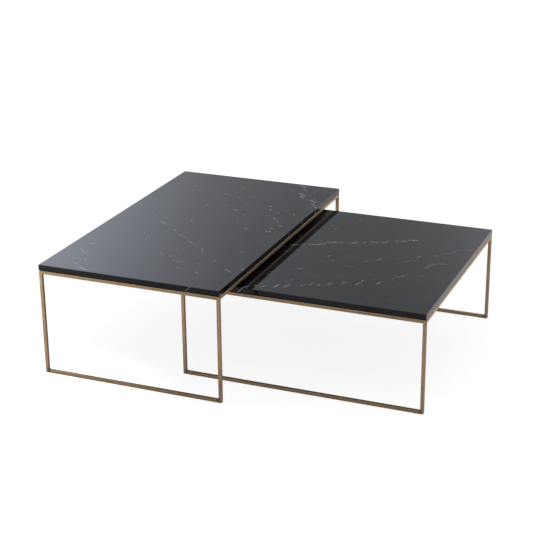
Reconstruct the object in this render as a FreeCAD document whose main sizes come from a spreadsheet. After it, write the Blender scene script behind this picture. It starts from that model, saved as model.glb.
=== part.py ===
"""Two nesting coffee tables: polished stone slabs on slim sled frames of mitred square tube.

The taller, narrower table stands over the lower, wider one, which slides out along X.
Millimetres. +X runs from the tall table towards the low one, +Y runs from the front sled
to the back sled and +Z is up. The origin is on the floor, midway along and across the pair.
"""
import FreeCAD, Part
import os
import Sketcher
from FreeCAD import Rotation, Vector

DIMENSIONS = (
    # alias, value, what it is
    ("tall_width", 700, "tall table, along X"),
    ("tall_depth", 1200, "tall table, along Y"),
    ("tall_height", 420, "tall table, floor to top"),
    ("low_width", 900, "low table, along X"),
    ("low_depth", 900, "low table, along Y"),
    ("low_height", 370, "low table, floor to top"),
    ("nest_offset", 572, "low table's centre to the right of the tall table's centre"),
    ("back_offset", 20, "low table's centre behind the tall table's centre"),
    ("slab_thickness", 20, "stone top"),
    ("slab_round", 1.5, "polished round on the slab's top edges"),
    ("slab_arris", 1, "chamfer on the slab's bottom edges"),
    ("tube", 12, "outside of the square tube"),
    ("wall", 1.5, "wall of the square tube"),
    ("tube_round", 1, "round on the tube's long edges"),
    ("foot_round", 3, "round on the sled's two lower outer corners"),
    ("cross_rail_part", 6, "a cross rail is this part of the depth from the middle"),
    ("gusset_leg", 36, "corner gusset, along each rail"),
    ("gusset_tip", 7, "width of the gusset's cut-off ends"),
    ("gusset_thickness", 3, "corner gusset"),
    ("anchor_inset", 26, "top screw, in from the table's two outer faces"),
    ("pad_thickness", 2, "cushion pad, which is the shadow gap under the slab"),
    ("pad_radius", 5, "cushion pad"),
    ("screw_radius", 2.5, "M5 shank"),
    ("screw_length", 16, "M5 shank, under the head"),
    ("screw_tip", 0.6, "chamfer at the end of the shank"),
    ("head_radius", 4.75, "button head"),
    ("head_height", 2.75, "button head"),
    ("head_round", 1.8, "dome of the button head"),
    ("socket_flats", 3, "hexagon socket, across flats"),
    ("socket_depth", 1.6, "hexagon socket"),
    ("screw_hole_radius", 2.75, "hole in the gusset"),
    ("washer_radius", 5, "outside of the washer"),
    ("washer_bore_radius", 2.65, "inside of the washer"),
    ("washer_thickness", 1, "washer"),
    ("insert_radius", 4, "outside of the threaded insert"),
    ("insert_bore_radius", 2.6, "inside of the threaded insert"),
    ("insert_length", 12, "threaded insert"),
    ("insert_hole_radius", 4.2, "blind hole in the slab, with room for glue"),
    ("insert_hole_depth", 13, "blind hole in the slab"),
    ("glide_radius", 5, "foot of the push-in glide"),
    ("glide_foot", 1.5, "foot of the push-in glide, which lifts the frame off the floor"),
    ("glide_edge", 0.4, "chamfer around the glide's foot"),
    ("glide_stem_radius", 2.5, "stem of the glide"),
    ("glide_stem_length", 6, "stem of the glide"),
    ("glide_hole_radius", 2.6, "hole in the floor rail"),
    ("glide_inset", 30, "glide, in from the table's left or right face"),
)

# Distances along X and Y from a table's own middle, and heights above the floor, as expressions.
RAIL_TOP = "(Size.{name}_height - Size.slab_thickness - Size.pad_thickness)"
GUSSET_TOP = RAIL_TOP + " - Size.tube_round"
WASHER_LEVEL = GUSSET_TOP + " - Size.gusset_thickness - Size.washer_thickness"
TALL_CENTRE_X = "-(Size.nest_offset + Size.low_width / 2 - Size.tall_width / 2) / 2"
CENTRES = {
    "tall": (TALL_CENTRE_X, "0"),
    "low": (TALL_CENTRE_X + " + Size.nest_offset", "Size.back_offset"),
}
SIDES = {"left": -1, "right": 1}
ENDS = {"front": -1, "back": 1}
CORNERS = [(end, side) for end in ENDS for side in SIDES]
GUSSET_TURN = {
    ("front", "left"): 0,
    ("front", "right"): 90,
    ("back", "right"): 180,
    ("back", "left"): 270,
}
SAME_PLACE = 1e-6  # two lengths closer than this are the same

doc = FreeCAD.newDocument("nesting_tables")
sub_parts = []


def make_sheet():
    """The driving dimensions, each in a cell with its own alias."""
    sheet = doc.addObject("Spreadsheet::Sheet", "Size")
    for row, (alias, value, note) in enumerate(DIMENSIONS, start=1):
        sheet.set(f"A{row}", alias)
        sheet.set(f"B{row}", str(value))
        sheet.set(f"C{row}", note)
        sheet.setAlias(f"B{row}", alias)
    doc.recompute()


def make_body(label):
    body = doc.addObject("PartDesign::Body", label)
    body.Label = label
    return body


def keep(thing):
    """Counts a finished body or group among the sub-parts that are exported."""
    sub_parts.append(thing)
    return thing


def put(thing, name, x, y, z, turn=Rotation()):
    """Places a body or link at x and y from a table's middle, and z above the floor."""
    centre_x, centre_y = CENTRES[name]
    thing.Placement = FreeCAD.Placement(Vector(), turn)
    thing.setExpression("Placement.Base.x", f"{centre_x} + {x}")
    thing.setExpression("Placement.Base.y", f"{centre_y} + {y}")
    thing.setExpression("Placement.Base.z", z.format(name=name))


def make_sketch(body, name, role, level=None):
    """A sketch on one of the body's own origin planes, raised to a level if one is given."""
    sketch = body.newObject("Sketcher::SketchObject", name)
    origin_plane = next(p for p in body.Origin.OriginFeatures if p.Role == role)
    sketch.AttachmentSupport = [(origin_plane, "")]
    sketch.MapMode = "FlatFace"
    if level:
        sketch.setExpression("AttachmentOffset.Base.z", level)
    return sketch


def bind(sketch, name, constraint, expression):
    """Adds a dimension to a sketch and binds it to an expression."""
    index = sketch.addConstraint(constraint)
    sketch.renameConstraint(index, name)
    sketch.setExpression(f"Constraints.{name}", expression)


def add_outline(sketch, points):
    """Joins points with lines into a closed outline, and returns its first line's number."""
    first = sketch.GeometryCount
    for i, point in enumerate(points):
        following = points[(i + 1) % len(points)]
        sketch.addGeometry(Part.LineSegment(Vector(*point), Vector(*following)), False)
    for i in range(len(points)):
        next_line = first + (i + 1) % len(points)
        sketch.addConstraint(Sketcher.Constraint("Coincident", first + i, 2, next_line, 1))
    return first


def draw_rectangle(sketch, width, height):
    """A rectangle about the sketch's origin."""
    add_outline(sketch, [(-10, -5), (10, -5), (10, 5), (-10, 5)])
    for line, direction in enumerate(("Horizontal", "Vertical") * 2):
        sketch.addConstraint(Sketcher.Constraint(direction, line))
    sketch.addConstraint(Sketcher.Constraint("Symmetric", 0, 1, 2, 1, -1, 1))
    bind(sketch, "width", Sketcher.Constraint("DistanceX", 0, 1, 0, 2, 20), width)
    bind(sketch, "height", Sketcher.Constraint("DistanceY", 1, 1, 1, 2, 10), height)


def draw_circle(sketch, name, radius, x=None, y=None):
    """A circle at x and y, which are the origin's unless they are given."""
    circle = sketch.addGeometry(Part.Circle(Vector(20, 20, 0), Vector(0, 0, 1), 5), False)
    bind(sketch, name + "_radius", Sketcher.Constraint("Radius", circle, 5), radius)
    if x:
        bind(sketch, name + "_x", Sketcher.Constraint("DistanceX", -1, 1, circle, 3, 20), x)
    else:
        sketch.addConstraint(Sketcher.Constraint("PointOnObject", circle, 3, -2))
    if y:
        bind(sketch, name + "_y", Sketcher.Constraint("DistanceY", -1, 1, circle, 3, 20), y)
    else:
        sketch.addConstraint(Sketcher.Constraint("PointOnObject", circle, 3, -1))
    return circle


def draw_mitre_corner(sketch, sign, length):
    """A triangle over one end of a tube, whose slope is the mitre and passes the outer corner."""
    clear = 2
    right, top = sign * (20 + clear), 6 + clear
    first = add_outline(sketch, [(right, -8), (right, top), (sign * 6, top)])
    sketch.addConstraint(Sketcher.Constraint("Vertical", first))
    sketch.addConstraint(Sketcher.Constraint("Horizontal", first + 1))
    name = "right" if sign > 0 else "left"
    side = f"Size.tube + {2 * clear}"
    reach = f"({length}) / 2 + {clear}"
    lowest_first = ("DistanceY", first, 1, first, 2, 16)
    bind(sketch, name + "_drop", Sketcher.Constraint(*lowest_first), side)
    height = ("DistanceY", -1, 1, first, 2, top)
    bind(sketch, name + "_top", Sketcher.Constraint(*height), f"Size.tube / 2 + {clear}")
    if sign > 0:
        across = ("DistanceX", first + 1, 2, first + 1, 1, 16)
        out = ("DistanceX", -1, 1, first, 1, right)
    else:
        across = ("DistanceX", first + 1, 1, first + 1, 2, 16)
        out = ("DistanceX", first, 1, -1, 1, -right)
    bind(sketch, name + "_across", Sketcher.Constraint(*across), side)
    bind(sketch, name + "_out", Sketcher.Constraint(*out), reach)


def add_pad(body, sketch, length, both_ways=False, downwards=False):
    pad = body.newObject("PartDesign::Pad", sketch.Name + "_pad")
    pad.Profile = sketch
    pad.setExpression("Length", length)
    pad.Reversed = downwards
    if both_ways:
        pad.SideType = "Symmetric"
    doc.recompute()


def add_pocket(body, sketch, depth=None, both_ways=False, upwards=False):
    """Cuts a sketch through the body, or to a depth, and makes sure that it removes material."""
    before = body.Shape.Volume
    pocket = body.newObject("PartDesign::Pocket", sketch.Name + "_pocket")
    pocket.Profile = sketch
    pocket.Reversed = upwards
    if both_ways:
        pocket.SideType = "Symmetric"
    if depth:
        pocket.setExpression("Length", depth)
    else:
        pocket.Type = "ThroughAll"
    doc.recompute()
    if not body.Shape.Volume < before:
        raise ValueError(f"{pocket.Name} in {body.Label} cuts nothing")


def add_edge_feature(body, kind, name, size, is_wanted):
    """A Fillet or Chamfer on the edges of the body that is_wanted picks by their middle."""
    base = body.Tip
    box = base.Shape.BoundBox
    edges = [
        f"Edge{number}"
        for number, edge in enumerate(base.Shape.Edges, start=1)
        if is_wanted(edge.CenterOfMass, box)
    ]
    feature = body.newObject(f"PartDesign::{kind}", name)
    feature.Base = (base, edges)
    feature.setExpression("Radius" if kind == "Fillet" else "Size", size)
    doc.recompute()


def same(a, b):
    return abs(a - b) < SAME_PLACE


def is_long_edge(middle, box):
    return same(abs(middle.y), box.YMax) and same(abs(middle.z), box.ZMax)


def is_top_edge(middle, box):
    return same(middle.z, box.ZMax)


def is_bottom_edge(middle, box):
    return same(middle.z, box.ZMin)


def make_tube(label, length, rounded_ends=(), mitred=True):
    """A square tube along its own X, its outer face down, with 45 degree ends if mitred."""
    body = make_body(label)
    section = make_sketch(body, label + "_section", "YZ_Plane")
    draw_rectangle(section, "Size.tube", "Size.tube")
    add_pad(body, section, length, both_ways=True)
    for sign in rounded_ends:
        add_edge_feature(
            body,
            "Fillet",
            f"{label}_foot_{'right' if sign > 0 else 'left'}",
            "Size.foot_round",
            lambda middle, box: same(middle.x, sign * box.XMax) and is_bottom_edge(middle, box),
        )
    add_edge_feature(body, "Fillet", label + "_rounds", "Size.tube_round", is_long_edge)
    bore = make_sketch(body, label + "_bore", "YZ_Plane")
    draw_rectangle(bore, "Size.tube - 2 * Size.wall", "Size.tube - 2 * Size.wall")
    add_pocket(body, bore, both_ways=True)
    if mitred:
        mitre = make_sketch(body, label + "_mitre", "XZ_Plane")
        draw_mitre_corner(mitre, 1, length)
        draw_mitre_corner(mitre, -1, length)
        add_pocket(body, mitre, both_ways=True)
    return body


def make_floor_rail(name, end):
    """Bottom tube of a sled, with a hole near each end for a glide."""
    width = f"Size.{name}_width"
    label = f"{name}_{end}_floor_rail"
    rail = make_tube(label, width, rounded_ends=(1, -1))
    holes = make_sketch(rail, label + "_glide_holes", "XY_Plane")
    reach = f"{width} / 2 - Size.glide_inset"
    right = draw_circle(holes, "glide", "Size.glide_hole_radius", x=reach)
    left = holes.addGeometry(Part.Circle(Vector(-20, 0, 0), Vector(0, 0, 1), 5), False)
    holes.addConstraint(Sketcher.Constraint("Equal", right, left))
    holes.addConstraint(Sketcher.Constraint("Symmetric", right, 3, left, 3, -1, 1))
    add_pocket(rail, holes)
    put(rail, name, "0", sled_y(name, end), "Size.glide_foot + Size.tube / 2")
    return keep(rail)


def sled_y(name, end):
    """Middle of a front or back tube, from the table's middle."""
    return f"{ENDS[end]} * (Size.{name}_depth - Size.tube) / 2"


def side_x(name, side):
    """Middle of a left or right tube, from the table's middle."""
    return f"{SIDES[side]} * (Size.{name}_width - Size.tube) / 2"


def make_top_rail(name, end):
    """Top tube of a sled, turned over so that its outer face is up."""
    rail = make_tube(f"{name}_{end}_top_rail", f"Size.{name}_width")
    turned_over = Rotation(Vector(1, 0, 0), 180)
    put(rail, name, "0", sled_y(name, end), RAIL_TOP + " - Size.tube / 2", turned_over)
    return keep(rail)


def make_leg(name, end, side):
    """Upright tube of a sled, its own +X end at the floor and its outer face outwards."""
    length = (RAIL_TOP + " - Size.glide_foot").format(name=name)
    leg = make_tube(f"{name}_{end}_{side}_leg", length, rounded_ends=(1,))
    upright = Rotation(Vector(0, 1, 0), 90)
    facing = Rotation(Vector(0, 0, 1), 0 if side == "left" else 180)
    middle = f"Size.glide_foot + ({length}) / 2"
    put(leg, name, side_x(name, side), sled_y(name, end), middle, facing * upright)
    return keep(leg)


def make_side_rail(name, side):
    """Tube along Y that joins the tops of the two sleds, butted between them."""
    length = f"Size.{name}_depth - 2 * Size.tube"
    rail = make_tube(f"{name}_{side}_side_rail", length, mitred=False)
    along_y = Rotation(Vector(0, 0, 1), 90)
    put(rail, name, side_x(name, side), "0", RAIL_TOP + " - Size.tube / 2", along_y)
    return keep(rail)


def cross_rail_y(name, end):
    return f"{ENDS[end]} * Size.{name}_depth / Size.cross_rail_part"


def make_cross_rail(name, end):
    """Tube along X under the slab, butted between the two side rails."""
    length = f"Size.{name}_width - 2 * Size.tube"
    rail = make_tube(f"{name}_{end}_cross_rail", length, mitred=False)
    put(rail, name, "0", cross_rail_y(name, end), RAIL_TOP + " - Size.tube / 2")
    return keep(rail)


def make_gusset(name, end, side):
    """Plate welded into an upper corner of the frame, with a hole for a top screw."""
    gusset = make_body(f"{name}_{end}_{side}_gusset")
    sketch = make_sketch(gusset, gusset.Name + "_outline", "XY_Plane")
    add_outline(sketch, [(0, 0), (30, 0), (30, 5), (5, 30), (0, 30)])
    sketch.addConstraint(Sketcher.Constraint("Coincident", 0, 1, -1, 1))
    for line, direction in ((0, "Horizontal"), (1, "Vertical"), (3, "Horizontal"), (4, "Vertical")):
        sketch.addConstraint(Sketcher.Constraint(direction, line))
    sketch.addConstraint(Sketcher.Constraint("Equal", 0, 4))
    sketch.addConstraint(Sketcher.Constraint("Equal", 1, 3))
    bind(sketch, "leg", Sketcher.Constraint("DistanceX", 0, 1, 0, 2, 30), "Size.gusset_leg")
    bind(sketch, "tip", Sketcher.Constraint("DistanceY", 1, 1, 1, 2, 5), "Size.gusset_tip")
    hole = "Size.anchor_inset - Size.tube"
    draw_circle(sketch, "hole", "Size.screw_hole_radius", x=hole, y=hole)
    add_pad(gusset, sketch, "Size.gusset_thickness")
    put(
        gusset,
        name,
        f"{SIDES[side]} * (Size.{name}_width / 2 - Size.tube)",
        f"{ENDS[end]} * (Size.{name}_depth / 2 - Size.tube)",
        GUSSET_TOP + " - Size.gusset_thickness",
        Rotation(Vector(0, 0, 1), GUSSET_TURN[end, side]),
    )
    return keep(gusset)


def anchor_places(name):
    """Where the top screws stand, in from the table's corners."""
    return [
        (
            f"{SIDES[side]} * (Size.{name}_width / 2 - Size.anchor_inset)",
            f"{ENDS[end]} * (Size.{name}_depth / 2 - Size.anchor_inset)",
        )
        for end, side in CORNERS
    ]


def make_slab(name):
    """Stone top with a polished round, a bottom arris and a blind hole over each gusset."""
    slab = make_body(f"{name}_marble_top")
    outline = make_sketch(slab, slab.Name + "_outline", "XY_Plane")
    draw_rectangle(outline, f"Size.{name}_width", f"Size.{name}_depth")
    add_pad(slab, outline, "Size.slab_thickness")
    add_edge_feature(slab, "Fillet", slab.Name + "_round", "Size.slab_round", is_top_edge)
    add_edge_feature(slab, "Chamfer", slab.Name + "_arris", "Size.slab_arris", is_bottom_edge)
    holes = make_sketch(slab, slab.Name + "_insert_holes", "XY_Plane")
    x = f"Size.{name}_width / 2 - Size.anchor_inset"
    y = f"Size.{name}_depth / 2 - Size.anchor_inset"
    first = draw_circle(holes, "insert", "Size.insert_hole_radius", x=x, y=y)
    for centre, mirror in (((-20, 20), (-2,)), ((20, -20), (-1,)), ((-20, -20), (-1, 1))):
        circle = Part.Circle(Vector(*centre), Vector(0, 0, 1), 5)
        other = holes.addGeometry(circle, False)
        holes.addConstraint(Sketcher.Constraint("Equal", first, other))
        holes.addConstraint(Sketcher.Constraint("Symmetric", first, 3, other, 3, *mirror))
    add_pocket(slab, holes, depth="Size.insert_hole_depth", upwards=True)
    put(slab, name, "0", "0", "Size.{name}_height - Size.slab_thickness")
    return keep(slab)


def make_screw():
    """M5 button-head screw, its head's bearing face at its own z = 0 and its shank up."""
    screw = make_body("screw_pattern")
    head = make_sketch(screw, "screw_head", "XY_Plane")
    draw_circle(head, "head", "Size.head_radius")
    add_pad(screw, head, "Size.head_height", downwards=True)
    add_edge_feature(screw, "Fillet", "screw_dome", "Size.head_round", is_bottom_edge)
    socket = screw.newObject("PartDesign::SubtractivePrism", "screw_socket")
    socket.Polygon = 6
    socket.setExpression("Circumradius", "Size.socket_flats / sqrt(3)")
    socket.setExpression("Height", "Size.socket_depth")
    socket.setExpression("AttachmentOffset.Base.z", "-Size.head_height")
    shank = make_sketch(screw, "screw_shank", "XY_Plane")
    draw_circle(shank, "shank", "Size.screw_radius")
    add_pad(screw, shank, "Size.screw_length")
    add_edge_feature(screw, "Chamfer", "screw_end", "Size.screw_tip", is_top_edge)
    return screw


def make_ring(label, radius, bore, thickness):
    """Plain ring, from its own z = 0 up."""
    ring = make_body(label)
    sketch = make_sketch(ring, label + "_outline", "XY_Plane")
    draw_circle(sketch, "outside", radius)
    draw_circle(sketch, "bore", bore)
    add_pad(ring, sketch, thickness)
    return ring


def make_disc(label, radius, thickness):
    """Plain disc, from its own z = 0 up."""
    disc = make_body(label)
    sketch = make_sketch(disc, label + "_outline", "XY_Plane")
    draw_circle(sketch, "outside", radius)
    add_pad(disc, sketch, thickness)
    return disc


def make_glide():
    """Push-in floor glide, its foot on its own z = 0 and its stem up."""
    glide = make_disc("glide_pattern", "Size.glide_radius", "Size.glide_foot")
    add_edge_feature(glide, "Chamfer", "glide_foot_edge", "Size.glide_edge", is_bottom_edge)
    stem = make_sketch(glide, "glide_stem", "XY_Plane", level="Size.glide_foot")
    draw_circle(stem, "stem", "Size.glide_stem_radius")
    add_pad(glide, stem, "Size.glide_stem_length")
    return glide


def make_group(label, pattern, name, places, level):
    """One sub-part of separate equal pieces: the pattern, linked to each place."""
    links = []
    for number, (x, y) in enumerate(places, start=1):
        link = doc.addObject("App::Link", f"{label}_{number}")
        link.LinkedObject = pattern
        put(link, name, x, y, level)
        links.append(link)
    group = doc.addObject("Part::Compound", label)
    group.Label = label
    group.Links = links
    return keep(group)


def pad_places(name):
    """Cushion pads: two on each sled's top rail, each side rail and each cross rail."""
    third_x = f"Size.{name}_width / 3"
    third_y = f"Size.{name}_depth / 3"
    places = []
    for end, side in CORNERS:
        right, back = SIDES[side], ENDS[end]
        places.append((f"{right} * {third_x}", sled_y(name, end)))
        places.append((side_x(name, side), f"{back} * {third_y}"))
        places.append((f"{right} * {third_x} / 2", cross_rail_y(name, end)))
    return places


def glide_places(name):
    return [
        (f"{SIDES[side]} * (Size.{name}_width / 2 - Size.glide_inset)", sled_y(name, end))
        for end, side in CORNERS
    ]


def make_table(name, screw, washer, insert, pad, glide):
    """Every sub-part of one table, from the floor up."""
    for end in ENDS:
        make_floor_rail(name, end)
        make_top_rail(name, end)
        make_cross_rail(name, end)
    for side in SIDES:
        make_side_rail(name, side)
    for end, side in CORNERS:
        make_leg(name, end, side)
        make_gusset(name, end, side)
    make_slab(name)
    anchors = anchor_places(name)
    slab_underside = "Size.{name}_height - Size.slab_thickness"
    make_group(f"{name}_top_screws", screw, name, anchors, WASHER_LEVEL)
    make_group(f"{name}_screw_washers", washer, name, anchors, WASHER_LEVEL)
    make_group(f"{name}_threaded_inserts", insert, name, anchors, slab_underside)
    make_group(f"{name}_cushion_pads", pad, name, pad_places(name), RAIL_TOP)
    make_group(f"{name}_floor_glides", glide, name, glide_places(name), "0")


def check_document():
    """Stops before anything is written if an object failed or a shape is not sound."""
    for thing in doc.Objects:
        if {"Invalid", "Error"} & set(thing.State):
            raise ValueError(f"{thing.Label} did not compute: {thing.State}")
    for thing in sub_parts:
        shape = thing.Shape
        if shape.isNull() or not shape.isValid() or not shape.Solids:
            raise ValueError(f"{thing.Label} has no sound solid")


def export_sub_parts():
    os.makedirs("parts", exist_ok=True)
    for thing in sub_parts:
        thing.Shape.exportStep(os.path.join("parts", thing.Label + ".step"))
        print(f"{thing.Label}: {len(thing.Shape.Solids)} solid(s), {thing.Shape.Volume:.0f} mm3")


make_sheet()
hardware = (
    make_screw(),
    make_ring(
        "washer_pattern", "Size.washer_radius", "Size.washer_bore_radius", "Size.washer_thickness"
    ),
    make_ring(
        "insert_pattern", "Size.insert_radius", "Size.insert_bore_radius", "Size.insert_length"
    ),
    make_disc("pad_pattern", "Size.pad_radius", "Size.pad_thickness"),
    make_glide(),
)
for table_name in CENTRES:
    make_table(table_name, *hardware)
doc.recompute()
check_document()
export_sub_parts()
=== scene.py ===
"""Looks of the nesting tables: polished black marble slabs on antique bronze sled frames."""
import math
import random
from collections import namedtuple

import bpy
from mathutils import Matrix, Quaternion, Vector


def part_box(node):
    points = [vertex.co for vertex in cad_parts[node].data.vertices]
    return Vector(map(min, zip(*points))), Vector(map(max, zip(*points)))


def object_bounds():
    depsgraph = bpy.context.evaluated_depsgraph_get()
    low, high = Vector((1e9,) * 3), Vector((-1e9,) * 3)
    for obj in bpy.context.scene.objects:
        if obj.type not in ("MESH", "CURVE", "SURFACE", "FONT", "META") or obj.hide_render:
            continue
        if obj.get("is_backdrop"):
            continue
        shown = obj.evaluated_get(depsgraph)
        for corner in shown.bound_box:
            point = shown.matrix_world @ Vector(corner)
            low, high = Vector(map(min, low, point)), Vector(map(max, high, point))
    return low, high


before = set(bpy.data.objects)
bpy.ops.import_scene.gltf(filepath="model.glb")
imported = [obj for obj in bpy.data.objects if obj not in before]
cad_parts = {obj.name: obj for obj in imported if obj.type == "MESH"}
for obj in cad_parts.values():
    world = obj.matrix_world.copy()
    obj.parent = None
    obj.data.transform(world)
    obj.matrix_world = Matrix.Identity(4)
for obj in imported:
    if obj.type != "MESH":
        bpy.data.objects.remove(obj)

CAD_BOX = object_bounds()

# Camera: where it aims, from the middle of the pair, and where it stands, in metres and degrees.
# Its lens and sensor are in millimetres.
CAMERA_AIM = Vector((-0.064, 0.003, 0.072))
CAMERA_AZIMUTH = 22.6
CAMERA_ELEVATION = 21.0
CAMERA_DISTANCE = 5.25
CAMERA_ROLL = -0.6
CAMERA_LENS = 93.8
SENSOR_WIDTH = 36.0

FLOOR_SIZE = 60.0
FLOOR_GLOW = 0.86
# Brighter pools of light on the floor: middle, inner and outer radius, and added glow.
LIGHT_POOLS = (
    ((-2.3, -2.3, 0.0), 0.6, 1.8, 1.8),
    ((-0.6, -0.9, 0.0), 0.1, 0.6, 0.7),
)

# The softbox that lights the tables' front left: place, aim and size in metres, power in watts.
SOFTBOX_PLACE = (-1.3, -1.6, 0.3)
SOFTBOX_AIM = (-0.5, -0.6, 0.2)
SOFTBOX_SIZE = (0.5, 0.5)
SOFTBOX_POWER = 3.8

TABLES = ("tall", "low")

# The ends of a belt of veins are counted in quarters of the slab's width and depth.
BELT_PARTS = 4
# Broad belts of veins on each slab. Each runs from start to end, in quarters of the slab's
# width and depth from its front left corner. A formula scatters its flecks: how many, how far they
# spread across the belt and how wide they are in millimetres, strength from 0 to 1, lean in degrees
# by which they turn away from the belt's line, and cover, the share of its stretch a fleck fills.
Belt = namedtuple("Belt", "start end flecks spread width strength lean cover", defaults=(0.0, 0.7))
BELTS = {
    "tall": [
        Belt((3, 4), (4, 3), 7, 12.0, 3.5, 1.00, lean=20.0, cover=1.0),
        Belt((3, 3), (4, 2), 12, 45.0, 2.5, 0.90, lean=30.0, cover=1.0),
        Belt((1, 4), (3, 2), 10, 60.0, 2.5, 0.70, lean=30.0, cover=0.5),
        Belt((1, 2), (3, 1), 5, 2.0, 1.6, 0.60, cover=1.1),
        Belt((0, 1), (1, 0), 7, 30.0, 2.5, 0.90, lean=30.0, cover=0.9),
        Belt((2, 1), (4, 0), 8, 40.0, 2.5, 0.80, lean=15.0, cover=0.7),
    ],
    "low": [
        Belt((1, 2), (3, 3), 13, 10.0, 3.5, 1.00, cover=0.9),
        Belt((3, 2), (4, 3), 6, 6.0, 2.0, 0.65, cover=0.9),
        Belt((1, 0), (3, 1), 13, 10.0, 2.5, 1.00, lean=45.0, cover=0.8),
        Belt((1, 1), (4, 2), 8, 70.0, 2.5, 0.60, lean=20.0, cover=0.4),
        Belt((0, 1), (1, 2), 4, 20.0, 3.0, 0.60),
        Belt((0, 3), (1, 4), 4, 30.0, 3.0, 0.60),
    ],
}
# How far a fleck turns at random away from its belt's lean, in degrees.
FLECK_TURN = 15.0
# Random ranges for a fleck: its place as a share of its stretch of the belt, and its length and
# width as shares of what the belt asks for.
FLECK_PLACE = (0.2, 0.8)
FLECK_LENGTH = (0.5, 1.4)
FLECK_WIDTH = (0.6, 1.1)
# A fleck has faded out this many of its lengths, or one of its widths, from its middle.
FLECK_REACH = 0.65
# Smaller flecks gather around the veins, out to this many times a vein fleck's own size.
GATHER_REACH = 9.0
# The way most streaks of a slab run, in degrees from +X.
GRAIN_ANGLE = {"tall": -45.0, "low": 45.0}

STONE_DARK = (0.0020, 0.0020, 0.0025, 1.0)
STONE_LIGHT = (0.0055, 0.0056, 0.0068, 1.0)
CALCITE_DIM = (0.150, 0.165, 0.200, 1.0)
CALCITE_BRIGHT = (0.300, 0.325, 0.370, 1.0)
MARBLE_IOR = 1.23
HONED_ROUGHNESS = 0.6

BRONZE_PALE = (0.350, 0.238, 0.148)
BRONZE_DEEP = (0.205, 0.136, 0.082)
BRONZE_RUBBED = (0.52, 0.37, 0.23)
# The dark brown of the patina, which also serves as the painted shade near the floor and on the faces
# turned in under the table.
BRONZE_PATINA_AND_SHADE = (0.075, 0.046, 0.028, 1.0)
BRONZE_GLANCE = (0.94, 0.86, 0.76, 1.0)
# Painted shade: the near-black colour laid into the lower inner corners of the sleds, where the leg meets
# the floor rail.
CORNER_SHADE_PAINT = (0.012, 0.009, 0.007, 1.0)
# Painted shade in the lower inner corners of the sleds is strongest this near to a corner and gone this
# far from it, in millimetres.
CORNER_SHADE_NEAR = 1.0
CORNER_SHADE_FAR = 9.0
CORNER_SHADE_STRENGTH = 0.55
# Painted light: how pale the bronze is painted on tubes along X, Y and Z, standing in for how the light
# falls on each: the side rails are palest, the legs next.
BRONZE_PAINTED_LIGHT = (0.66, 1.35, 0.84)


def mm(value):
    return value / 1000.0


class Graph:
    """Adds nodes to one node tree, so that a formula of nodes reads as one."""

    def __init__(self, tree):
        self.tree = tree

    def node(self, kind, inputs=(), **settings):
        node = self.tree.nodes.new(kind)
        for name, value in settings.items():
            setattr(node, name, value)
        for key, value in dict(inputs).items():
            self.feed(node.inputs[key], value)
        return node

    def feed(self, socket, value):
        if isinstance(value, bpy.types.NodeSocket):
            self.tree.links.new(value, socket)
        elif value is not None:
            socket.default_value = value

    def math(self, operation, a, b=None, c=None):
        inputs = {i: v for i, v in enumerate((a, b, c)) if v is not None}
        return self.node("ShaderNodeMath", inputs, operation=operation).outputs[0]

    def vector(self, operation, a, b=None):
        inputs = {0: a} if b is None else {0: a, 1: b}
        node = self.node("ShaderNodeVectorMath", inputs, operation=operation)
        return node.outputs["Value" if operation in ("LENGTH", "DOT_PRODUCT") else "Vector"]

    def scaled(self, a, factor):
        node = self.node("ShaderNodeVectorMath", {0: a, "Scale": factor}, operation="SCALE")
        return node.outputs["Vector"]

    def fade(self, value, low, high, to_low=0.0, to_high=1.0):
        """Smooth step of value from low to high."""
        names = ("Value", "From Min", "From Max", "To Min", "To Max")
        inputs = dict(zip(names, (value, low, high, to_low, to_high)))
        node = self.node("ShaderNodeMapRange", inputs, interpolation_type="SMOOTHSTEP")
        return node.outputs["Result"]

    def noise(self, at, scale, detail=3.0, roughness=0.5, distortion=0.0):
        inputs = {
            "Vector": at,
            "Scale": scale,
            "Detail": detail,
            "Roughness": roughness,
            "Distortion": distortion,
        }
        return self.node("ShaderNodeTexNoise", inputs)

    def mix(self, factor, a, b):
        inputs = {"Factor": factor, 6: a, 7: b}
        return self.node("ShaderNodeMix", inputs, data_type="RGBA").outputs[2]

    def turned(self, at, degrees, scale):
        """A point turned about Z, then scaled along each axis."""
        inputs = {"Vector": at, "Rotation": (0.0, 0.0, math.radians(degrees))}
        return self.vector("MULTIPLY", self.node("ShaderNodeMapping", inputs).outputs[0], scale)


def new_material(name):
    """An empty material with a Principled shader, and its graph and shader node."""
    material = bpy.data.materials.new(name)
    material.use_nodes = True
    tree = material.node_tree
    tree.nodes.clear()
    graph = Graph(tree)
    shader = graph.node("ShaderNodeBsdfPrincipled")
    output = graph.node("ShaderNodeOutputMaterial")
    tree.links.new(shader.outputs[0], output.inputs["Surface"])
    return material, graph, shader


def own_point(graph):
    """Where a surface point is at rest, in metres."""
    return graph.node("ShaderNodeTexCoord").outputs["Object"]


def flecks(belt, corner, width, depth, chance):
    """The flecks of a belt of veins: middle, heading, length, width and strength of each."""
    start, end = (
        Vector((corner[0] + x * width / BELT_PARTS, corner[1] + y * depth / BELT_PARTS, 0.0))
        for x, y in (belt.start, belt.end)
    )
    stretch = (end - start) / belt.flecks
    sideways = Vector((-stretch.y, stretch.x, 0.0)).normalized()
    for i in range(belt.flecks):
        middle = start + stretch * (i + chance.uniform(*FLECK_PLACE))
        middle += sideways * chance.gauss(0.0, mm(belt.spread))
        turn = math.radians(belt.lean + chance.uniform(-FLECK_TURN, FLECK_TURN))
        heading = math.atan2(stretch.y, stretch.x) + turn
        share = chance.uniform(*FLECK_LENGTH)
        thick = chance.uniform(*FLECK_WIDTH)
        length = stretch.length * belt.cover * share
        yield middle, heading, length, mm(belt.width) * thick, belt.strength * min(share + 0.2, 1.0)


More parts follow.
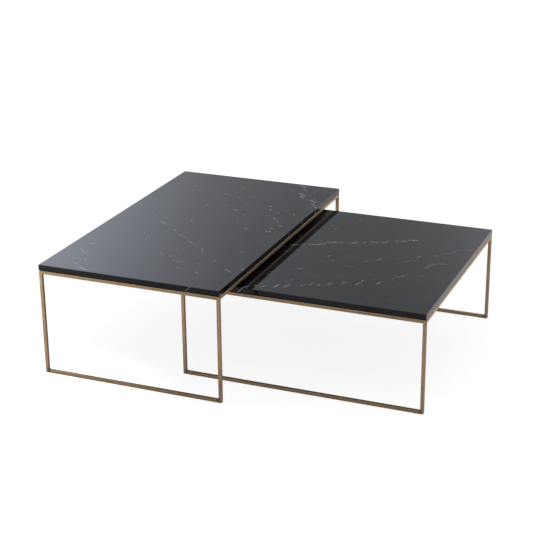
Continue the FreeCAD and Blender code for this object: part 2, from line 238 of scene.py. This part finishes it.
def drawn_veins(graph, point, name):
    """The slab's main veins, each fleck a soft turned ellipse, and how near they are."""
    low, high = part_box(f"{name}_marble_top")
    chance = random.Random(f"veins of the {name} slab")
    mask, nearest = 0.0, GATHER_REACH
    for belt in BELTS[name]:
        made = flecks(belt, low, high[0] - low[0], high[1] - low[1], chance)
        for middle, heading, length, width, strength in made:
            inputs = {
                "Vector": point,
                "Location": middle,
                "Rotation": (0.0, 0.0, heading),
                "Scale": (length * FLECK_REACH, width, 1.0),
            }
            own = graph.node("ShaderNodeMapping", inputs, vector_type="TEXTURE").outputs[0]
            away = graph.vector("LENGTH", own)
            mask = graph.math("MAXIMUM", mask, graph.fade(away, 1.0, 0.1, 0.0, strength))
            nearest = graph.math("MINIMUM", nearest, away)
    return mask, graph.fade(nearest, GATHER_REACH, 1.0)


def streaks(graph, point, name, length, slimness, share):
    """Short dashes along the slab's grain, one in each of a share of cells."""
    cell = length * 2.5
    stretched = graph.turned(point, -GRAIN_ANGLE[name], (1.0 / cell, slimness / cell, 1.0))
    cells = graph.node("ShaderNodeTexVoronoi", {"Vector": stretched, "Scale": 1.0})
    pick = graph.node("ShaderNodeSeparateColor", {0: cells.outputs["Color"]}).outputs
    chosen = graph.math("LESS_THAN", pick[0], share)
    dash = graph.fade(cells.outputs["Distance"], 0.22, 0.08)
    return graph.math("MULTIPLY", graph.math("MULTIPLY", dash, chosen), pick[1])


def on_top(graph, point, name):
    """The point of a slab's top from which a vein reaches this point, slanting down through it."""
    _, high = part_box(f"{name}_marble_top")
    x, y, z = graph.node("ShaderNodeSeparateXYZ", {0: point}).outputs
    depth = graph.math("SUBTRACT", high[2], z)
    return graph.node("ShaderNodeCombineXYZ", {0: graph.math("ADD", x, depth), 1: y}).outputs[0]


def honed_below(graph):
    """Roughness of the slab's underside, which is sawn and honed but not polished."""
    normal = graph.node("ShaderNodeNewGeometry").outputs["Normal"]
    _, _, upward = graph.node("ShaderNodeSeparateXYZ", {0: normal}).outputs
    return graph.fade(upward, -0.6, -0.9, 0.0, HONED_ROUGHNESS)


def make_marble(name):
    """Black marble with broken white veins, polished."""
    material, graph, shader = new_material(f"{name}_black_marble")
    point = own_point(graph)
    flat = on_top(graph, point, name)
    sway = graph.vector("SUBTRACT", graph.noise(flat, 9.0, 2.0).outputs["Color"], (0.5,) * 3)
    shake = graph.vector("SUBTRACT", graph.noise(flat, 70.0, 3.0).outputs["Color"], (0.5,) * 3)
    shiver = graph.vector("SUBTRACT", graph.noise(flat, 300.0, 2.0).outputs["Color"], (0.5,) * 3)
    wander = graph.vector("ADD", graph.scaled(sway, 0.014), graph.scaled(shake, 0.008))
    wander = graph.vector("ADD", wander, graph.scaled(shiver, 0.007))
    warped = graph.vector("ADD", flat, graph.vector("MULTIPLY", wander, (1.0, 1.0, 0.0)))

    broken = graph.noise(flat, 120.0, 4.0, 0.7).outputs["Fac"]
    broken = graph.fade(broken, 0.36, 0.56, 0.25, 1.25)
    veins, near = drawn_veins(graph, warped, name)
    veins = graph.math("MULTIPLY", veins, broken)
    crowd = graph.math("MULTIPLY_ADD", near, 0.22, 0.035)
    dashes = graph.math("MULTIPLY", streaks(graph, warped, name, mm(22), 5.0, crowd), 0.85)
    specks = graph.math("MULTIPLY", streaks(graph, warped, name, mm(9), 2.6, crowd), 0.75)
    fine = graph.math("MAXIMUM", dashes, specks)

    grain = graph.turned(warped, -GRAIN_ANGLE[name], (2.2, 9.0, 1.0))
    ridge = graph.noise(grain, 2.0, 5.0, 0.6, 0.4).outputs["Fac"]
    ridge = graph.math("ABSOLUTE", graph.math("SUBTRACT", ridge, 0.5))
    patchy = graph.fade(graph.noise(flat, 5.0, 2.0).outputs["Fac"], 0.5, 0.68)
    hair = graph.math("MULTIPLY", graph.fade(ridge, 0.006, 0.0), patchy)
    white = graph.math("MAXIMUM", veins, graph.math("MAXIMUM", fine, graph.math("MULTIPLY", hair, 0.10)))

    cloud = graph.noise(graph.turned(flat, -GRAIN_ANGLE[name], (5.0, 11.0, 1.0)), 1.0, 6.0, 0.6)
    stone = graph.mix(graph.fade(cloud.outputs["Fac"], 0.3, 0.75), STONE_DARK, STONE_LIGHT)
    calcite = graph.noise(flat, 160.0, 2.0).outputs["Fac"]
    calcite = graph.mix(calcite, CALCITE_DIM, CALCITE_BRIGHT)
    graph.feed(shader.inputs["Base Color"], graph.mix(white, stone, calcite))
    haze = graph.noise(flat, 14.0, 4.0).outputs["Fac"]
    polish = graph.fade(haze, 0.3, 0.7, 0.045, 0.075)
    polish = graph.math("MULTIPLY_ADD", white, 0.08, polish)
    graph.feed(shader.inputs["Roughness"], graph.math("MAXIMUM", polish, honed_below(graph)))
    shader.inputs["IOR"].default_value = MARBLE_IOR
    pits = graph.noise(flat, 420.0, 2.0).outputs["Fac"]
    bump = graph.node("ShaderNodeBump", {"Height": pits, "Strength": 0.02, "Distance": 0.0004})
    graph.feed(shader.inputs["Normal"], bump.outputs[0])
    return material


def painted_corner_shade(graph, point, name):
    """Painted shade in the lower inner corners of a table's sleds, fading within a centimetre."""
    low, inner_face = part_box(f"{name}_front_left_leg")
    _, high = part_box(f"{name}_back_right_leg")
    _, rail_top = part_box(f"{name}_front_floor_rail")
    middle_x = (low[0] + high[0]) / 2
    x, _, z = graph.node("ShaderNodeSeparateXYZ", {0: point}).outputs
    off_middle = graph.math("ABSOLUTE", graph.math("SUBTRACT", x, middle_x))
    inward = graph.math("ABSOLUTE", graph.math("SUBTRACT", middle_x - inner_face[0], off_middle))
    reach = graph.math("MAXIMUM", inward, graph.math("SUBTRACT", z, rail_top[2]))
    return graph.fade(reach, mm(CORNER_SHADE_FAR), mm(CORNER_SHADE_NEAR), 0.0, CORNER_SHADE_STRENGTH)


def facing_inward(graph, point, name):
    """1 on the faces of a table's tubes that look across at the other legs, which get painted shade."""
    low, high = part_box(f"{name}_marble_top")
    middle = [(a + b) / 2 for a, b in zip(low, high)]
    normal = graph.node("ShaderNodeNewGeometry").outputs["Normal"]
    inward = graph.vector("MULTIPLY", graph.vector("SUBTRACT", middle, point), normal)
    x, _, _ = graph.node("ShaderNodeSeparateXYZ", {0: inward}).outputs
    return graph.fade(x, 0.10, 0.25)


def rubbed_edge(graph):
    """1 along the edges of a tube, where hands and cloths have rubbed the patina off."""
    rounded = graph.node("ShaderNodeBevel", {"Radius": mm(1.5)}, samples=4).outputs[0]
    flat = graph.node("ShaderNodeNewGeometry").outputs["True Normal"]
    return graph.fade(graph.vector("DOT_PRODUCT", rounded, flat), 0.995, 0.90)


def lit_toned(colour, light_tone):
    """A colour made paler or deeper, to paint how the light falls on a tube."""
    return (*[light_tone * c for c in colour], 1.0)


def make_bronze(name, axis):
    """Antique bronze on square tube: satin, drawn along one axis, with painted shade in the lower inner
    corners, near the floor and on the faces turned inward, and painted paler or deeper by axis for how
    the light falls.
    """
    light_tone = BRONZE_PAINTED_LIGHT[axis]
    material, graph, shader = new_material(f"{name}_bronze_lit_along_{'xyz'[axis]}")
    point = own_point(graph)
    along = [420.0] * 3
    along[axis] = 6.0
    lines = graph.noise(graph.vector("MULTIPLY", point, tuple(along)), 3.0, 4.0, 0.6)
    lines = lines.outputs["Fac"]
    mottle = graph.noise(point, 38.0, 5.0, 0.62, 0.3).outputs["Fac"]
    clouds = graph.noise(point, 6.0, 3.0).outputs["Fac"]
    patina = graph.math("MULTIPLY_ADD", mottle, 0.6, graph.math("MULTIPLY", clouds, 0.4))
    patina = graph.fade(patina, 0.42, 0.66)
    _, _, height = graph.node("ShaderNodeSeparateXYZ", {0: point}).outputs
    # Painted shade: the tubes darken towards the floor; this joins the random patina in one darkening.
    near_floor_shade = graph.fade(height, 0.16, 0.0)
    dark = graph.math("MULTIPLY_ADD", patina, 0.35, graph.math("MULTIPLY", near_floor_shade, 0.22))
    # Painted shade: the faces turned in under the table are darkened like the patina.
    inner = graph.math("MULTIPLY", facing_inward(graph, point, name), 0.6)
    dark = graph.math("MAXIMUM", dark, inner)
    rubbed = graph.math("MULTIPLY", rubbed_edge(graph), graph.fade(mottle, 0.40, 0.58, 0.2, 1.0))
    drawn = graph.mix(lines, lit_toned(BRONZE_DEEP, light_tone), lit_toned(BRONZE_PALE, light_tone))
    # Patina and painted shade together darken the drawn bronze.
    colour = graph.mix(dark, drawn, BRONZE_PATINA_AND_SHADE)
    colour = graph.mix(graph.math("MULTIPLY", rubbed, 0.7), colour, lit_toned(BRONZE_RUBBED, light_tone))
    # Painted shade: the lower inner corners darken towards the near-black corner colour.
    colour = graph.mix(painted_corner_shade(graph, point, name), colour, CORNER_SHADE_PAINT)
    graph.feed(shader.inputs["Base Color"], colour)
    shader.inputs["Metallic"].default_value = 1.0
    rough = graph.math("MULTIPLY_ADD", dark, 0.15, graph.math("MULTIPLY_ADD", lines, 0.10, 0.37))
    rough = graph.math("MULTIPLY_ADD", rubbed, -0.12, rough)
    graph.feed(shader.inputs["Roughness"], rough)
    shader.inputs["Specular Tint"].default_value = BRONZE_GLANCE
    relief = graph.math("MULTIPLY_ADD", mottle, 0.5, lines)
    bump = graph.node("ShaderNodeBump", {"Height": relief, "Strength": 0.22, "Distance": 0.0005})
    graph.feed(shader.inputs["Normal"], bump.outputs[0])
    return material


def make_turned_metal(name, dull, bright, roughness):
    """Small turned metal parts, with fine marks."""
    material, graph, shader = new_material(name)
    marks = graph.noise(graph.vector("MULTIPLY", own_point(graph), (400.0, 400.0, 3000.0)), 1.0)
    marks = marks.outputs["Fac"]
    graph.feed(shader.inputs["Base Color"], graph.mix(marks, dull, bright))
    shader.inputs["Metallic"].default_value = 1.0
    graph.feed(shader.inputs["Roughness"], graph.math("MULTIPLY_ADD", marks, 0.15, roughness))
    return material


def make_moulded(name, dark, light, roughness):
    """Moulded rubber or nylon, with a fine grain."""
    material, graph, shader = new_material(name)
    grain = graph.noise(own_point(graph), 900.0, 4.0, 0.6).outputs["Fac"]
    graph.feed(shader.inputs["Base Color"], graph.mix(grain, dark, light))
    graph.feed(shader.inputs["Roughness"], graph.math("MULTIPLY_ADD", grain, 0.2, roughness))
    bump = graph.node("ShaderNodeBump", {"Height": grain, "Strength": 0.15, "Distance": 0.0003})
    graph.feed(shader.inputs["Normal"], bump.outputs[0])
    return material


def wear(node, material):
    """Gives a CAD node's object a material in all its slots."""
    thing = bpy.data.objects[node]
    for slot in thing.material_slots:
        slot.material = material


def tube_axis(node):
    """The axis that a tube runs along: 0, 1 or 2."""
    low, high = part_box(node)
    sides = [b - a for a, b in zip(low, high)]
    return sides.index(max(sides))


def dress_table(name, small_parts):
    """Every CAD node of one table gets its material."""
    marble = make_marble(name)
    # Three copies of the bronze, one for each axis, painted paler or deeper for how the light falls.
    bronze = [make_bronze(name, axis) for axis in range(3)]
    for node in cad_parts:
        if not node.startswith(name + "_"):
            continue
        kind = node[len(name) + 1:]
        if kind == "marble_top":
            wear(node, marble)
        elif kind in small_parts:
            wear(node, small_parts[kind])
        elif kind.endswith("gusset"):
            wear(node, bronze[0])
        else:
            wear(node, bronze[tube_axis(node)])


def dress_tables():
    steel = make_turned_metal(
        "screw_steel", (0.30, 0.30, 0.31, 1.0), (0.52, 0.52, 0.54, 1.0), 0.28
    )
    brass = make_turned_metal(
        "insert_brass", (0.55, 0.38, 0.14, 1.0), (0.75, 0.56, 0.25, 1.0), 0.25
    )
    rubber = make_moulded("pad_rubber", (0.010,) * 3 + (1.0,), (0.022,) * 3 + (1.0,), 0.6)
    nylon = make_moulded("glide_nylon", (0.014,) * 3 + (1.0,), (0.030,) * 3 + (1.0,), 0.4)
    small_parts = {
        "top_screws": steel,
        "screw_washers": steel,
        "threaded_inserts": brass,
        "cushion_pads": rubber,
        "floor_glides": nylon,
    }
    for name in TABLES:
        dress_table(name, small_parts)


def make_floor():
    """A pale seamless floor, with a faint unevenness."""
    mesh = bpy.data.meshes.new("studio_floor")
    half = FLOOR_SIZE / 2
    corners = [(-half, -half, 0.0), (half, -half, 0.0), (half, half, 0.0), (-half, half, 0.0)]
    mesh.from_pydata(corners, [], [(0, 1, 2, 3)])
    floor = bpy.data.objects.new("studio_floor", mesh)
    bpy.context.scene.collection.objects.link(floor)
    material, graph, shader = new_material("pale_floor")
    point = own_point(graph)
    cloud = graph.noise(point, 0.7, 4.0).outputs["Fac"]
    shade = graph.mix(cloud, (0.115, 0.115, 0.115, 1.0), (0.13, 0.13, 0.13, 1.0))
    glow = graph.mix(cloud, (0.98, 0.98, 0.98, 1.0), (1.0, 1.0, 1.0, 1.0))
    strength = FLOOR_GLOW
    for middle, inner, outer, added in LIGHT_POOLS:
        away = graph.vector("LENGTH", graph.vector("SUBTRACT", point, middle))
        strength = graph.math("ADD", graph.fade(away, outer, inner, 0.0, added), strength)
    graph.feed(shader.inputs["Base Color"], shade)
    graph.feed(shader.inputs["Emission Color"], glow)
    graph.feed(shader.inputs["Emission Strength"], strength)
    shader.inputs["Roughness"].default_value = 0.9
    shader.inputs["Specular IOR Level"].default_value = 0.1
    mesh.materials.append(material)
    floor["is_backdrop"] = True


def direction(azimuth, elevation):
    """Unit vector; azimuth 0 is +Y and grows towards +X."""
    a, e = math.radians(azimuth), math.radians(elevation)
    return (math.sin(a) * math.cos(e), math.cos(a) * math.cos(e), math.sin(e))


# Soft panels around the studio: azimuth, elevation, radius, softness of the edge (all in
# degrees), colour and strength.
PANELS = (
    (-48.0, 20.0, 11.0, 5.5, (0.92, 1.0, 1.18), 2.55),
    (3.0, 20.0, 8.0, 4.0, (0.97, 1.0, 1.10), 2.10),
    (0.0, 90.0, 25.0, 16.0, (1.0, 1.0, 1.0), 1.60),
    (-145.0, 25.0, 15.0, 12.0, (1.0, 0.99, 0.97), 1.20),
)
SURROUND = (0.568, 0.58, 0.603)
# The pale backdrop: a brighter band above the horizon, all round.
BACKDROP_TOP = 13.0
BACKDROP_GLOW = 0.9


def make_studio():
    """Soft light from all round: a dim surround with brighter panels that fade at their edges."""
    world = bpy.data.worlds.new("studio")
    bpy.context.scene.world = world
    world.use_nodes = True
    tree = world.node_tree
    tree.nodes.clear()
    graph = Graph(tree)
    towards = graph.node("ShaderNodeTexCoord").outputs["Generated"]
    light = SURROUND
    for azimuth, elevation, radius, softness, colour, strength in PANELS:
        facing = graph.vector("DOT_PRODUCT", towards, direction(azimuth, elevation))
        angle = graph.math("ARCCOSINE", graph.math("MINIMUM", facing, 1.0))
        beyond = graph.math("MAXIMUM", graph.math("SUBTRACT", angle, math.radians(radius)), 0.0)
        spread = graph.math("POWER", graph.math("DIVIDE", beyond, math.radians(softness)), 2.0)
        amount = graph.math("POWER", math.exp(-0.5), spread)
        light = graph.vector("ADD", light, graph.scaled(colour, graph.math("MULTIPLY", amount, strength)))
    _, _, rise = graph.node("ShaderNodeSeparateXYZ", {0: towards}).outputs
    backdrop = graph.fade(rise, math.sin(math.radians(BACKDROP_TOP)), 0.0, 0.0, BACKDROP_GLOW)
    light = graph.vector("ADD", light, graph.scaled((1.0, 1.0, 1.0), backdrop))
    background = graph.node("ShaderNodeBackground", {"Color": light, "Strength": 1.0})
    output = graph.node("ShaderNodeOutputWorld")
    tree.links.new(background.outputs[0], output.inputs["Surface"])


def make_area_light(name, place, aim, size, power):
    data = bpy.data.lights.new(name, "AREA")
    data.shape = "RECTANGLE"
    data.size, data.size_y = size
    data.energy = power
    light = bpy.data.objects.new(name, data)
    light.location = place
    light.rotation_mode = "QUATERNION"
    light.rotation_quaternion = (Vector(aim) - Vector(place)).to_track_quat("-Z", "Y")
    bpy.context.scene.collection.objects.link(light)


def make_camera():
    low, high = CAD_BOX
    aim = (Vector(low) + Vector(high)) / 2 + CAMERA_AIM
    a, e = math.radians(CAMERA_AZIMUTH), math.radians(CAMERA_ELEVATION)
    back = Vector((math.sin(a) * math.cos(e), -math.cos(a) * math.cos(e), math.sin(e)))
    data = bpy.data.cameras.new("camera")
    data.sensor_width = SENSOR_WIDTH
    data.lens = CAMERA_LENS
    camera = bpy.data.objects.new("camera", data)
    camera.location = aim + back * CAMERA_DISTANCE
    camera.rotation_mode = "QUATERNION"
    roll = Quaternion((0.0, 0.0, 1.0), math.radians(CAMERA_ROLL))
    camera.rotation_quaternion = (-back).to_track_quat("-Z", "Y") @ roll
    bpy.context.scene.collection.objects.link(camera)
    bpy.context.scene.camera = camera


def write_sizes():
    """The CAD model's box and the visual model's box, as plain lists; they are not written anywhere."""
    boxes = {"cad": CAD_BOX, "visual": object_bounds()}
    plain = {name: [list(corner) for corner in box] for name, box in boxes.items()}


bpy.context.scene.view_settings.view_transform = "Standard"
dress_tables()
make_floor()
make_studio()
make_area_light("front_left_softbox", SOFTBOX_PLACE, SOFTBOX_AIM, SOFTBOX_SIZE, SOFTBOX_POWER)
make_camera()
write_sizes()
